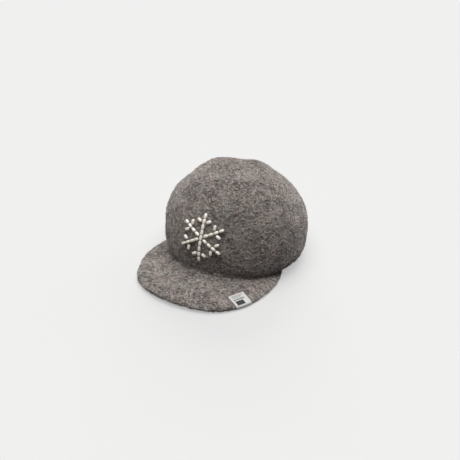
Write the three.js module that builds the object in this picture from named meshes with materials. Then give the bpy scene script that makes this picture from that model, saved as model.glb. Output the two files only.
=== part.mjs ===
// A fulled-knit baseball cap, standing on a table as it does by itself: on the back of its rim and the
// edge of its peak. Millimetres, +Z up, front of the cap towards -Y, wearer's left towards +X.
// Every piece is a closed mesh of its own: the seamless crown, the thick peak under its rim, the ribbon
// label folded over the peak's edge, and the sewn-on beads that make a six-armed snow crystal.
import * as THREE from "three";

// Driving sizes
const WALL = 3.2; // fulled knit of the crown
const GAP = 0.35; // between neighbouring pieces
const PRESS = 0.5; // how far the wool flattens where it rests
const RIM_ARCH = 9; // rise of the crown's edge over the forehead
const SAG = 9; // how far the soft top has sunk towards the wearer's right
const SAG_GROWTH = 2.4; // exponent of the sinking over the crown's height

const PEAK = {
  reach: 66, // from the rim's front to the tip
  halfWidth: 96,
  widestAt: -58, // Y of the widest place
  cornerAt: -11.5, // Y of the two corners
  squareness: 2.45, // exponent of the oval front outline
  slope: 14.5, // degrees below the rim all round
  thickness: 5,
  cornerThickness: 3,
  cornerFade: 6, // exponent of the thinning towards the corners
  cornerShare: 0.16, // of the outer edge from tip to corner, where it draws in to the corner
  cornerLedge: 1.5, // how far each corner stands out from the rim
};

const LABEL = {
  middle: 0.57, // place along the peak's outer edge, 0 at the tip and 1 at the left corner
  width: 24, // along the edge
  fold: 20, // from the edge in, above and below
  thickness: 0.6,
};

const BEAD = { length: 6.9, diameter: 4.6, endDiameter: 1.6, sides: 12 };
const CRYSTAL = {
  // a six-armed snow crystal on the front of the crown
  sideways: 6, // from the front centre line towards the wearer's left
  climb: 51, // from the rim, along the cloth
  arms: 6,
  beadsInArm: 4,
  branchAfter: 2.55, // beads along the arm to its two side branches
  branchReach: 7.7, // from the arm's middle to a branch's bead
};

// Outer surface of the crown: one level oval a row, from the rim to the top. The front reach and the
// back reach are measured from the wearer's ears, where the oval is widest.
const CROWN_SECTIONS = [
  { height: 0, halfWidth: 85, front: 99, back: 99 },
  { height: 11, halfWidth: 97.5, front: 101.5, back: 109 },
  { height: 36, halfWidth: 97.5, front: 104, back: 121 },
  { height: 62, halfWidth: 94, front: 97, back: 117.5 },
  { height: 84.5, halfWidth: 84, front: 85.5, back: 102 },
  { height: 102.5, halfWidth: 68, front: 67, back: 82 },
  { height: 116, halfWidth: 48, front: 44.5, back: 59 },
  { height: 121.4, halfWidth: 24, front: 22, back: 31 },
  { height: 122, halfWidth: 0, front: 0, back: 0 },
];

// How finely the curved forms are faceted
const CROWN_STEPS = { around: 56, up: 20, crowding: 0.9 }; // crowding below 1: closer towards the top
const PEAK_STEPS = { along: 46, across: 6, edge: 4 };
const LABEL_STEPS = { along: 4, across: 4, edge: 6 };
const BEAD_STEPS = 4;
const LINE_STEPS = 40; // of the front centre line, on which lengths along the cloth are measured
const NORMAL_STEP = 0.004; // share of the crown's height, or radians, between the points of a slope

const RIM = CROWN_SECTIONS[0];
const CROWN_HEIGHT = CROWN_SECTIONS.at(-1).height;
const QUARTER_TURN = Math.PI / 2;

// The three outlines of the crown, each a smooth curve through its column of the table
const outlineOf = (column) =>
  new THREE.SplineCurve(CROWN_SECTIONS.map((row) => new THREE.Vector2(row[column], row.height)));
const sideOutline = outlineOf("halfWidth");
const frontOutline = outlineOf("front");
const backOutline = outlineOf("back");

// A point of an oval with its own reach to the front and to the back. Angle 0 is the front centre.
function onOval(halfWidth, front, back, angle, height) {
  const reach = Math.cos(angle) > 0 ? front : back;
  return new THREE.Vector3(halfWidth * Math.sin(angle), -reach * Math.cos(angle), height);
}

// The rim rises over the forehead, and the lift fades out towards the top of the crown.
const rimLift = (angle) => RIM_ARCH * Math.max(0, Math.cos(angle)) ** 2;

// The rim's oval, grown by a margin all round
const onRim = (angle, margin = 0) =>
  onOval(RIM.halfWidth + margin, RIM.front + margin, RIM.back + margin, angle, rimLift(angle));

// Outer edge of the peak seen from above, from the right corner (-1) round the tip (0) to the left (1):
// an oval from its widest place forward, and a short stretch that draws in to each corner.
const CORNER_ANGLE = QUARTER_TURN + Math.asin(PEAK.cornerAt / RIM.back);
function peakOutline(along) {
  const place = new THREE.Vector2();
  const oval = 1 - PEAK.cornerShare;
  const past = (Math.abs(along) - oval) / PEAK.cornerShare;
  if (past > 0) {
    const cornerX = onRim(CORNER_ANGLE).x + PEAK.cornerLedge;
    place.x = THREE.MathUtils.lerp(PEAK.halfWidth, cornerX, past ** 2);
    place.y = THREE.MathUtils.lerp(PEAK.widestAt, PEAK.cornerAt, past);
  } else {
    const turn = (Math.abs(along) / oval) * QUARTER_TURN;
    const power = 2 / PEAK.squareness;
    const tip = -(RIM.front + PEAK.reach);
    place.x = PEAK.halfWidth * Math.sin(turn) ** power;
    place.y = PEAK.widestAt + (tip - PEAK.widestAt) * Math.max(0, Math.cos(turn)) ** power;
  }
  place.x *= Math.sign(along);
  return place;
}

// Height of the peak's top face at a place seen from above: level under the crown's wall, then sloping
// down with the distance from the rim
function peakHeight(x, y) {
  const spread = Math.hypot(x / RIM.halfWidth, y / RIM.front);
  const angle = Math.atan2(x / RIM.halfWidth, -y / RIM.front);
  const out = Math.max(0, Math.hypot(x, y) * (1 - 1 / spread));
  return rimLift(angle) - GAP - out * Math.tan(THREE.MathUtils.degToRad(PEAK.slope));
}

const peakThickness = (along) =>
  THREE.MathUtils.lerp(PEAK.thickness, PEAK.cornerThickness, Math.abs(along) ** PEAK.cornerFade);

// One loop round the peak's thickness, from an inner to an outer place seen from above: along the top,
// round the outer edge, and back underneath. A margin sets it off from the peak's own skin.
function peakSection(inner, outer, along, steps, margin) {
  const half = peakThickness(along) / 2;
  const out = outer.clone().sub(inner).normalize();
  const edgeMiddle = outer.clone().addScaledVector(out, -half);
  const onTop = (place, offset) => new THREE.Vector3(place.x, place.y, peakHeight(place.x, place.y) + offset);
  const above = [];
  const below = [];
  for (let i = 0; i <= steps.across; i++) {
    const place = inner.clone().lerp(edgeMiddle, i / steps.across);
    above.push(onTop(place, margin));
    below.unshift(onTop(place, -2 * half - margin));
  }
  const edge = [];
  for (let i = 1; i < steps.edge; i++) {
    const turn = (i / steps.edge) * Math.PI;
    const point = onTop(edgeMiddle, -half + (half + margin) * Math.cos(turn));
    point.x += out.x * (half + margin) * Math.sin(turn);
    point.y += out.y * (half + margin) * Math.sin(turn);
    edge.push(point);
  }
  return [...above, ...edge, ...below];
}

// Half the label's width, as a share of the peak's outer edge from tip to corner
const EDGE_STEP = 0.05;
const edgeLength = peakOutline(LABEL.middle + EDGE_STEP).distanceTo(peakOutline(LABEL.middle - EDGE_STEP));
const LABEL_HALF = (LABEL.width / edgeLength) * EDGE_STEP;

// How far the cap leans back on a table: until the peak's edge, or the ribbon under it, and the back of
// the rim are level
const backOfRim = onRim(Math.PI);
function leanTo(along, depth) {
  const edge = peakOutline(along);
  const { x, y } = edge.setLength(edge.length() - peakThickness(along) / 2);
  const low = peakHeight(x, y) - peakThickness(along) - depth;
  return Math.atan2(backOfRim.z - low, backOfRim.y - y);
}
const LEAN = Math.max(
  ...[0, 0.2, 0.4, 0.5, 0.6, 0.7, 0.8].map((along) => leanTo(along, 0)),
  ...[-1, 0, 1].map((side) =>
    leanTo(LABEL.middle + side * LABEL_HALF, GAP + LABEL.thickness + PRESS),
  ),
);

// From the level cap to the cap as it stands. The wool goes flat where it would press into the table.
function stand(point) {
  const stood = point.clone().applyAxisAngle(new THREE.Vector3(1, 0, 0), -LEAN);
  stood.z += backOfRim.y * Math.sin(LEAN) - PRESS;
  return stood;
}
const flattened = (point) => point.clone().setZ(Math.max(0, point.z));

// Crown

// A point of the crown's outer surface. Climb runs from the rim (0) to the top (1).
function crownOuter(climb, angle) {
  const { x: halfWidth, y: height } = sideOutline.getPoint(climb);
  const front = frontOutline.getPoint(climb).x;
  const back = backOutline.getPoint(climb).x;
  const share = height / CROWN_HEIGHT;
  const point = onOval(halfWidth, front, back, angle, height + rimLift(angle) * (1 - share));
  point.x -= SAG * share ** SAG_GROWTH;
  return stand(point);
}

function crownNormal(climb, angle) {
  const low = Math.max(0, climb - NORMAL_STEP);
  const rise = crownOuter(climb + NORMAL_STEP, angle).sub(crownOuter(low, angle));
  const turn = crownOuter(climb, angle + NORMAL_STEP).sub(crownOuter(climb, angle - NORMAL_STEP));
  return turn.cross(rise).normalize();
}

// The inner surface lies one wall's thickness inside. At the rim it is level with the outer edge.
function crownInner(climb, angle) {
  const inward = crownNormal(climb, angle).negate();
  if (climb === 0) inward.setZ(0).normalize();
  return crownOuter(climb, angle).addScaledVector(inward, WALL);
}

function ring(surface, climb) {
  const points = [];
  for (let i = 0; i < CROWN_STEPS.around; i++) {
    points.push(flattened(surface(climb, (i / CROWN_STEPS.around) * 2 * Math.PI)));
  }
  return points;
}

function crown() {
  const inside = [];
  const outside = [];
  for (let i = 0; i < CROWN_STEPS.up; i++) {
    const climb = (i / CROWN_STEPS.up) ** CROWN_STEPS.crowding;
    inside.unshift(ring(crownInner, climb));
    outside.push(ring(crownOuter, climb));
  }
  return loft([...inside, ...outside]);
}

// Peak

function peak() {
  const sections = [];
  for (let i = 0; i <= PEAK_STEPS.along; i++) {
    const along = -1 + (2 * i) / PEAK_STEPS.along;
    const inner = onRim(along * CORNER_ANGLE, -WALL);
    const section = peakSection(
      new THREE.Vector2(inner.x, inner.y), peakOutline(along), along, PEAK_STEPS, 0,
    );
    sections.push(section.map(stand));
  }
  return loft(sections);
}

// Label: a straight ribbon folded square over the peak's edge, a small gap away from the wool

function label() {
  const start = peakOutline(LABEL.middle - LABEL_HALF);
  const end = peakOutline(LABEL.middle + LABEL_HALF);
  const inward = end.sub(start).normalize().rotateAround(new THREE.Vector2(), QUARTER_TURN);
  const outside = [];
  const inside = [];
  for (let i = 0; i <= LABEL_STEPS.along; i++) {
    const along = LABEL.middle + LABEL_HALF * (-1 + (2 * i) / LABEL_STEPS.along);
    const outer = peakOutline(along);
    const inner = outer.clone().addScaledVector(inward, LABEL.fold);
    const strip = (margin) => peakSection(inner, outer, along, LABEL_STEPS, margin).map(stand);
    outside.unshift(strip(GAP + LABEL.thickness));
    inside.push(strip(GAP));
  }
  const strips = [...outside, ...inside];
  return loft(strips[0].map((_, station) => strips.map((each) => each[station])));
}

// Beads

const PITCH = BEAD.length + GAP;

function beadShape() {
  const profile = [new THREE.Vector2(0, -BEAD.length / 2)];
  for (let i = 0; i <= BEAD_STEPS; i++) {
    const place = -1 + (2 * i) / BEAD_STEPS;
    const swell = Math.sqrt(1 - place ** 2 * (1 - (BEAD.endDiameter / BEAD.diameter) ** 2));
    profile.push(new THREE.Vector2((BEAD.diameter / 2) * swell, (BEAD.length / 2) * place));
  }
  profile.push(new THREE.Vector2(0, BEAD.length / 2));
  return new THREE.LatheGeometry(profile, BEAD.sides);
}

// The crown's front centre line, on which lengths are measured along the cloth
const frontLine = new THREE.CatmullRomCurve3(
  Array.from({ length: LINE_STEPS + 1 }, (_, i) => crownOuter(i / LINE_STEPS, 0)),
);

// A point of the crown's front, given its distance to the side and its climb from the rim along the cloth
function onFront(sideways, climbLength) {
  const climb = frontLine.getUtoTmapping(0, climbLength);
  const angle = Math.asin(sideways / sideOutline.getPoint(climb).x);
  return { point: crownOuter(climb, angle), normal: crownNormal(climb, angle) };
}

function sewnBead(geometry, name, middle, direction) {
  const reach = BEAD.length / 2;
  const at = (offset) =>
    onFront(
      CRYSTAL.sideways + middle.x + direction.x * offset,
      CRYSTAL.climb + middle.y + direction.y * offset,
    );
  const seat = at(0);
  const bead = new THREE.Mesh(geometry, PEARL);
  const lengthwise = at(reach).point.sub(at(-reach).point).normalize();
  bead.name = name;
  bead.position.copy(seat.point).addScaledVector(seat.normal, BEAD.diameter / 2 + GAP);
  bead.quaternion.setFromUnitVectors(new THREE.Vector3(0, 1, 0), lengthwise);
  return bead;
}

function snowCrystal() {
  const crystal = new THREE.Group();
  const geometry = beadShape();
  const upwards = new THREE.Vector2(0, 1);
  crystal.add(sewnBead(geometry, "bead_centre", new THREE.Vector2(), upwards));
  for (let arm = 0; arm < CRYSTAL.arms; arm++) {
    const turn = (arm / CRYSTAL.arms) * 2 * Math.PI;
    const outward = upwards.clone().rotateAround(new THREE.Vector2(), turn);
    for (let i = 1; i <= CRYSTAL.beadsInArm; i++) {
      const middle = outward.clone().multiplyScalar(i * PITCH);
      crystal.add(sewnBead(geometry, `bead_arm_${arm + 1}_${i}`, middle, outward));
    }
    for (const [side, lean] of [["left", Math.PI / 3], ["right", -Math.PI / 3]]) {
      const branch = outward.clone().rotateAround(new THREE.Vector2(), lean);
      const middle = outward.clone().multiplyScalar(CRYSTAL.branchAfter * PITCH);
      middle.addScaledVector(branch, CRYSTAL.branchReach);
      crystal.add(sewnBead(geometry, `bead_branch_${arm + 1}_${side}`, middle, branch));
    }
  }
  return crystal;
}

// A closed skin through a row of loops, each with the same number of points. Both ends are closed by a
// fan round the middle of the loop.
function loft(loops) {
  const size = loops[0].length;
  const positions = loops.flat().flatMap((point) => point.toArray());
  const faces = [];
  for (let row = 0; row + 1 < loops.length; row++) {
    for (let i = 0; i < size; i++) {
      const next = (i + 1) % size;
      const [a, b] = [row * size + i, row * size + next];
      faces.push(a, b, a + size, b, b + size, a + size);
    }
  }
  const ends = [
    [loops[0], 0, false],
    [loops.at(-1), (loops.length - 1) * size, true],
  ];
  for (const [loop, first, last] of ends) {
    const middle = loop.reduce((sum, point) => sum.add(point), new THREE.Vector3()).divideScalar(size);
    const hub = positions.length / 3;
    positions.push(...middle.toArray());
    for (let i = 0; i < size; i++) {
      const [a, b] = [first + i, first + ((i + 1) % size)];
      faces.push(...(last ? [hub, a, b] : [hub, b, a]));
    }
  }
  return new THREE.BufferGeometry()
    .setAttribute("position", new THREE.Float32BufferAttribute(positions, 3))
    .setIndex(faces);
}

// Materials
const WOOL = new THREE.MeshStandardMaterial({ color: "#77706d", roughness: 0.95, metalness: 0 });
const RIBBON = new THREE.MeshStandardMaterial({ color: "#efefec", roughness: 0.75, metalness: 0 });
const PEARL = new THREE.MeshStandardMaterial({ color: "#ece5d8", roughness: 0.35, metalness: 0 });

function piece(name, geometry, material) {
  geometry.computeVertexNormals();
  const mesh = new THREE.Mesh(geometry, material);
  mesh.name = name;
  return mesh;
}

const cap = new THREE.Group();
cap.add(piece("crown", crown(), WOOL));
cap.add(piece("peak", peak(), WOOL));
cap.add(piece("label", label(), RIBBON));
cap.add(snowCrystal());

// The origin is on the table, under the middle of the whole cap.
const footprint = new THREE.Box3().setFromObject(cap, true);
const middle = footprint.getCenter(new THREE.Vector3());
cap.position.set(-middle.x, -middle.y, 0);

export default cap;
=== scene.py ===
"""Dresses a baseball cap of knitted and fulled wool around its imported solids.

The cap has a seamless crown, a thick soft peak, a ribbon label folded over the peak's edge and a snow
crystal of small cream beads sewn on the front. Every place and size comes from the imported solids.
Lengths are metres, the front of the cap looks towards -Y, the wearer's left is +X, and +Z is up.
"""

import logging
from dataclasses import dataclass
from enum import Enum
from math import cos, pi, radians, sin

import bmesh
import bpy
import numpy as np
from bmesh.types import BMesh, BMVert
from bpy.types import Material, Mesh, Node, NodeSocket, NodeTree, Object, bpy_prop_collection
from mathutils import Matrix, Vector
from mathutils.bvhtree import BVHTree


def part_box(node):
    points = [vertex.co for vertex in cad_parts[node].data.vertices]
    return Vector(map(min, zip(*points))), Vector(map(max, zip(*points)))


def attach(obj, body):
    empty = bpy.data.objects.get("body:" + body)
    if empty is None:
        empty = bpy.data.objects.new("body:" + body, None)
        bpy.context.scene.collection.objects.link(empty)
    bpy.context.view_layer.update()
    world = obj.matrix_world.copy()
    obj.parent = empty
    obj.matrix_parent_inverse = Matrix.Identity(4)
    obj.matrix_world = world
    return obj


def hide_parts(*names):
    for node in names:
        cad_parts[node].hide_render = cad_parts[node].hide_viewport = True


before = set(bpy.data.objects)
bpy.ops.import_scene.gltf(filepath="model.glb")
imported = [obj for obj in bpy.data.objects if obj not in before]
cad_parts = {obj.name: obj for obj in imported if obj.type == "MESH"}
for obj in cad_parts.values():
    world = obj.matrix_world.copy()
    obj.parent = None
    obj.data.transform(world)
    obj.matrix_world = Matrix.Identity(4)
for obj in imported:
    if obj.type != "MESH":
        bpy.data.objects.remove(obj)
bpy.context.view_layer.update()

MM = 0.001
PER_SQUARE_CM = 1e4  # in a square metre
BODY = "root"
PHOTO_PIXELS = 460
UP = Vector((0, 0, 1))
WHITE = "#ffffff"

# Names of what the points and faces carry

SHADE = "shade"
ALONG = "along"
OUT = "out"
RIBBON_PLACE = "ribbon_place"

log = logging.getLogger("knit_cap")


class Finish(Enum):
    """The record's material slots."""

    WOOL = "wool"
    RIBBON = "ribbon"
    PEARL = "pearl"


class Side(Enum):
    """Which side of a hollow form the loose fibres grow on."""

    OUTSIDE = 1.0
    INSIDE = -1.0


# Colours and nodes


def linear(hex_colour: str) -> tuple[float, float, float, float]:
    """Turns an sRGB colour into linear light.

    Args:
        hex_colour: the colour as "#rrggbb".

    Returns:
        Linear red, green and blue, and an alpha of one.
    """
    channels = [int(hex_colour[i : i + 2], 16) / 255 for i in (1, 3, 5)]
    bright = [c / 12.92 if c <= 0.04045 else ((c + 0.055) / 1.055) ** 2.4 for c in channels]
    return (*bright, 1.0)


def per_size(millimetres: float) -> float:
    """The texture scale whose pattern repeats about once in a length on Object coordinates."""
    return 1 / (millimetres * MM)


def add_node(
    tree: NodeTree,
    kind: str,
    inputs: dict[str | int, object] | None = None,
    stops: tuple[tuple[float, str], ...] = (),
    **settings: object,
) -> Node:
    """Adds a node with its settings and links.

    Args:
        tree: the tree of a material or of a geometry modifier.
        kind: the node's type.
        inputs: a value or another node's output for each input, by its name or its number.
        stops: places and hex colours, where the node is a ramp.
        settings: the node's own properties.

    Returns:
        The new node.
    """
    node = tree.nodes.new(kind)
    for name, value in settings.items():
        setattr(node, name, value)
    for key, value in (inputs or {}).items():
        if isinstance(key, int):
            socket = node.inputs[key]
        else:
            socket = next(s for s in node.inputs if s.name == key and s.enabled)
        for source in value if isinstance(value, list) else [value]:
            if isinstance(source, NodeSocket):
                tree.links.new(source, socket)
            else:
                socket.default_value = source
    if stops:
        elements = node.color_ramp.elements
        while len(elements) < len(stops):
            elements.new(1.0)
        for element, (place, colour) in zip(elements, stops):
            element.position = place
            element.color = linear(colour)
    return node


def result_of(node: Node) -> NodeSocket:
    """The first output of a node that its settings leave in use."""
    return next(s for s in node.outputs if s.enabled)


def start_material(name: str) -> tuple[Material, NodeTree]:
    """Starts a node material.

    Args:
        name: the real material and how it was made.

    Returns:
        The material and its empty tree.
    """
    material = bpy.data.materials.new(name)
    material.use_nodes = True
    material.node_tree.nodes.clear()
    return material, material.node_tree


def start_tree(name: str, sizes: dict[str, str]) -> tuple[NodeTree, Node]:
    """Starts a geometry tree.

    Args:
        name: the tree's name.
        sizes: the socket type of each named input.

    Returns:
        The tree and its input node, whose first output is the geometry.
    """
    tree = bpy.data.node_groups.new(name, "GeometryNodeTree")
    tree.interface.new_socket("Geometry", in_out="INPUT", socket_type="NodeSocketGeometry")
    for label, kind in sizes.items():
        tree.interface.new_socket(label, in_out="INPUT", socket_type=kind)
    tree.interface.new_socket("Geometry", in_out="OUTPUT", socket_type="NodeSocketGeometry")
    return tree, tree.nodes.new("NodeGroupInput")


# Objects and meshes


SAME_POINT = 0.001 * MM
QUAD_FOLD = radians(40)  # the most that two triangles of one quad are folded against each other
QUAD_SKEW = radians(100)  # the most that a quad's corners are off a right angle


def new_object(name: str, shape: BMesh | Mesh) -> Object:
    """Links a new object that sits at the origin.

    Args:
        name: the object's name.
        shape: its mesh, or a bmesh, which is freed.

    Returns:
        The object.
    """
    mesh = shape
    if isinstance(shape, BMesh):
        mesh = bpy.data.meshes.new(name)
        shape.to_mesh(mesh)
        shape.free()
    piece = bpy.data.objects.new(name, mesh)
    bpy.context.scene.collection.objects.link(piece)
    return piece


def keep_result(piece: Object) -> None:
    """Turns a piece and its live modifiers into one plain mesh.

    Args:
        piece: the object, whose mesh is replaced.
    """
    depsgraph = bpy.context.evaluated_depsgraph_get()
    made = piece.evaluated_get(depsgraph)
    mesh = bpy.data.meshes.new_from_object(made, preserve_all_data_layers=True, depsgraph=depsgraph)
    piece.modifiers.clear()
    piece.data = mesh


def run_tree(piece: Object, tree: NodeTree, sizes: dict[str, object]) -> None:
    """Runs a geometry tree on a piece and keeps the plain mesh that it makes.

    Args:
        piece: the object, whose mesh is replaced.
        tree: the tree.
        sizes: a value for each of the tree's named inputs.
    """
    modifier = piece.modifiers.new(tree.name, "NODES")
    modifier.node_group = tree
    for item in tree.interface.items_tree:
        if item.item_type == "SOCKET" and item.in_out == "INPUT" and item.name in sizes:
            modifier[item.identifier] = sizes[item.name]
    keep_result(piece)


def smooth_copy(node: str, name: str, levels: int) -> Object:
    """Copies a CAD solid, merges its loose triangles to quads and rounds it.

    Args:
        node: the solid's node.
        name: the new object's name.
        levels: how often it is subdivided.

    Returns:
        The new object, a plain mesh.
    """
    shape = bmesh.new()
    shape.from_mesh(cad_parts[node].data)
    bmesh.ops.remove_doubles(shape, verts=shape.verts, dist=SAME_POINT)
    bmesh.ops.join_triangles(
        shape,
        faces=shape.faces,
        angle_face_threshold=QUAD_FOLD,
        angle_shape_threshold=QUAD_SKEW,
    )
    piece = new_object(name, shape)
    subdivision = piece.modifiers.new("round", "SUBSURF")
    subdivision.levels = subdivision.render_levels = levels
    keep_result(piece)
    return piece


def surface_of(piece: Object) -> BVHTree:
    """Makes a piece's surface ready to look for places on it.

    Args:
        piece: the object.

    Returns:
        The surface's search tree.
    """
    mesh = piece.data
    corners = [vertex.co for vertex in mesh.vertices]
    return BVHTree.FromPolygons(corners, [face.vertices[:] for face in mesh.polygons])


def ring_angles(steps: int) -> list[float]:
    """The turn of each point of an even ring, in radians."""
    return [2 * pi * i / steps for i in range(steps)]


def weave_loops(shape: BMesh, loops: list[list[BMVert]], closed: bool) -> None:
    """Joins rings of points to a smooth closed skin whose faces point out.

    Args:
        shape: the bmesh that holds the points.
        loops: the rings, each with as many points.
        closed: whether the last ring joins the first, or both ends get a lid.
    """
    size = len(loops[0])
    following = loops[1:] + loops[:1] if closed else loops[1:]
    for ring, after in zip(loops, following):
        for j in range(size):
            k = (j + 1) % size
            shape.faces.new((ring[j], ring[k], after[k], after[j]))
    if not closed:
        shape.faces.new(reversed(loops[0]))
        shape.faces.new(loops[-1])
    for face in shape.faces:
        face.smooth = True
    bmesh.ops.recalc_face_normals(shape, faces=shape.faces)


def even_steps(line: list[Vector], steps: int) -> tuple[list[Vector], float]:
    """Walks along a line in even steps.

    Args:
        line: the line's points.
        steps: how many steps it gets.

    Returns:
        The points between the steps, one more than there are steps, and the line's length.
    """
    places = np.array([point[:] for point in line])
    runs = np.concatenate([[0], np.linalg.norm(np.diff(places, axis=0), axis=1).cumsum()])
    wanted = np.linspace(0, runs[-1], steps + 1)
    even = np.stack([np.interp(wanted, runs, places[:, axis]) for axis in range(3)], axis=1)
    return [Vector(place) for place in even], float(runs[-1])


def hand_over(piece: Object, finish: Finish, *solids: str) -> None:
    """Rides a finished piece on the cap and hides the solids that it stands for.

    Args:
        piece: the finished object.
        finish: the record's slot, not used.
        solids: the CAD nodes that it stands for.
    """
    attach(piece, BODY)
    if solids:
        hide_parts(*solids)
    piece.data.calc_loop_triangles()
    log.info("%s: %d triangles", piece.name, len(piece.data.loop_triangles))


# Finishes


WOOL_STOPS = (0.5, 0.66, 0.84)  # how light the wool is where its three colours stand
COOL_TINT = (0.38, "#f5f9f9")
WARM_TINT = (0.62, "#fcf8f7")
HEATHER_MM = 13.0
MOTTLE_MM = 3.0
PATCH_MM = 17.0
PATCH_SHARE = 0.35
STREAK = 1.5  # how much wider than high the mottling is


def streaked_place(tree: NodeTree, place: NodeSocket) -> NodeSocket:
    """Adds the node that draws a pattern out round the cap."""
    return add_node(
        tree, "ShaderNodeMapping", {"Vector": place, "Scale": (1, 1, STREAK)}
    ).outputs["Vector"]


def mottled(tree: NodeTree, place: NodeSocket) -> NodeSocket:
    """Adds the nodes of the light and dark mottling that the felt and its loose fibres share.

    Args:
        tree: the material's tree.
        place: the Object coordinates' socket.

    Returns:
        The socket of a value about two thirds. It is a tone that differs at random and also the felt's
        bump: low in its hollows, where the colour drawn from it is painted shade, and high on its
        crests, where it is painted light.
    """
    mottle = add_node(
        tree,
        "ShaderNodeTexNoise",
        {
            "Vector": streaked_place(tree, place),
            "Scale": per_size(MOTTLE_MM),
            "Detail": 3.0,
            "Roughness": 0.6,
            "Distortion": 0.9,
        },
    ).outputs["Fac"]
    patches = add_node(
        tree,
        "ShaderNodeTexNoise",
        {"Vector": place, "Scale": per_size(PATCH_MM), "Detail": 2.0},
    ).outputs["Fac"]
    return add_node(
        tree, "ShaderNodeMath", {0: patches, 1: PATCH_SHARE, 2: mottle}, operation="MULTIPLY_ADD"
    ).outputs["Value"]


def wool_colour(
    tree: NodeTree, shade: NodeSocket, place: NodeSocket, hexes: tuple[str, str, str]
) -> NodeSocket:
    """Adds the nodes of a wool colour, a little cooler in some patches and warmer in others.

    Args:
        tree: the material's tree.
        shade: the socket of how light the wool is.
        place: the Object coordinates' socket.
        hexes: the darkest colour, painted shade in the felt's hollows, the colour of most of the wool,
            and the lightest, painted light on the felt's crests.

    Returns:
        The colour's socket.
    """
    colour = add_node(
        tree, "ShaderNodeValToRGB", {"Fac": shade}, stops=tuple(zip(WOOL_STOPS, hexes))
    ).outputs["Color"]
    patches = add_node(
        tree,
        "ShaderNodeTexNoise",
        {"Vector": place, "Scale": per_size(HEATHER_MM), "Detail": 3.0},
    ).outputs["Fac"]
    tint = add_node(
        tree, "ShaderNodeValToRGB", {"Fac": patches}, stops=(COOL_TINT, WARM_TINT)
    ).outputs["Color"]
    mixed = add_node(
        tree,
        "ShaderNodeMix",
        {"Factor": 1.0, "A": colour, "B": tint},
        data_type="RGBA",
        blend_type="MULTIPLY",
    )
    return result_of(mixed)


@dataclass(frozen=True)
class FulledWool:
    """Grey sheep's wool, carded from several shades, knitted loose and fulled in hot water.

    The stitches have closed, so the eye sees a dull mottled felt, streaked a little round the cap, and a
    pale bloom where the surface turns away. The mottled colour is darker in the bump's hollows, as
    painted shade, and paler on its crests, as painted light.
    """

    # painted shade in the bump's hollows, the felt's own colour, painted light on its crests
    hexes: tuple[str, str, str] = ("#534c4a", "#99908b", "#cdc3bc")
    nap_mm: float = 1.5
    nap_share: float = 0.8
    bump_mm: float = 0.7

    def make(self) -> Material:
        """Builds the material.

        Returns:
            The material.
        """
        material, tree = start_material("fulled_wool")
        place = add_node(tree, "ShaderNodeTexCoord").outputs["Object"]
        shade = mottled(tree, place)
        nap = add_node(
            tree,
            "ShaderNodeTexNoise",
            {
                "Vector": streaked_place(tree, place),
                "Scale": per_size(self.nap_mm),
                "Detail": 3.0,
                "Roughness": 0.7,
            },
        ).outputs["Fac"]
        # the bump follows the same mottling as the colour, so its hollows carry painted shade and its
        # crests painted light
        relief = add_node(
            tree, "ShaderNodeMath", {0: nap, 1: self.nap_share, 2: shade}, operation="MULTIPLY_ADD"
        ).outputs["Value"]
        bump = add_node(
            tree,
            "ShaderNodeBump",
            {"Height": relief, "Strength": 0.9, "Distance": self.bump_mm * MM},
        ).outputs["Normal"]
        wool = add_node(
            tree,
            "ShaderNodeBsdfPrincipled",
            {
                "Base Color": wool_colour(tree, shade, place, self.hexes),
                "Roughness": 1.0,
                "Diffuse Roughness": 1.0,
                "Specular IOR Level": 0.1,
                "Sheen Weight": 1.0,
                "Sheen Roughness": 0.35,
                "Sheen Tint": linear("#f0ece9"),
                "Normal": bump,
            },
        ).outputs["BSDF"]
        add_node(tree, "ShaderNodeOutputMaterial", {"Surface": wool})
        return material


@dataclass(frozen=True)
class LooseWool:
    """Single wool fibres that stand out of the felt, as light or dark as the felt below them.

    Each one is also a little lighter or darker than the next, which gives the heathered look.
    """

    # through the shared mottling, the darkest lies over the felt's painted shade in its hollows and the
    # lightest over its painted light on its crests
    hexes: tuple[str, str, str] = ("#635a57", "#b0a6a1", "#eae1db")
    difference: float = 0.34

    def make(self) -> Material:
        """Builds the material.

        Returns:
            The material.
        """
        material, tree = start_material("loose_wool")
        place = add_node(tree, "ShaderNodeTexCoord").outputs["Object"]
        own = add_node(tree, "ShaderNodeAttribute", attribute_name=SHADE).outputs["Fac"]
        centred = add_node(
            tree,
            "ShaderNodeMath",
            {0: own, 1: self.difference, 2: -self.difference / 2},
            operation="MULTIPLY_ADD",
        ).outputs["Value"]
        shade = add_node(
            tree, "ShaderNodeMath", {0: centred, 1: mottled(tree, place)}, operation="ADD"
        ).outputs["Value"]
        fibre = add_node(
            tree,
            "ShaderNodeBsdfPrincipled",
            {
                "Base Color": wool_colour(tree, shade, place, self.hexes),
                "Roughness": 0.9,
                "Diffuse Roughness": 1.0,
                "Specular IOR Level": 0.15,
                "Sheen Weight": 1.0,
                "Sheen Roughness": 0.35,
                "Sheen Tint": linear("#f4f0ed"),
            },
        ).outputs["BSDF"]
        add_node(tree, "ShaderNodeOutputMaterial", {"Surface": fibre})
        return material


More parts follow.
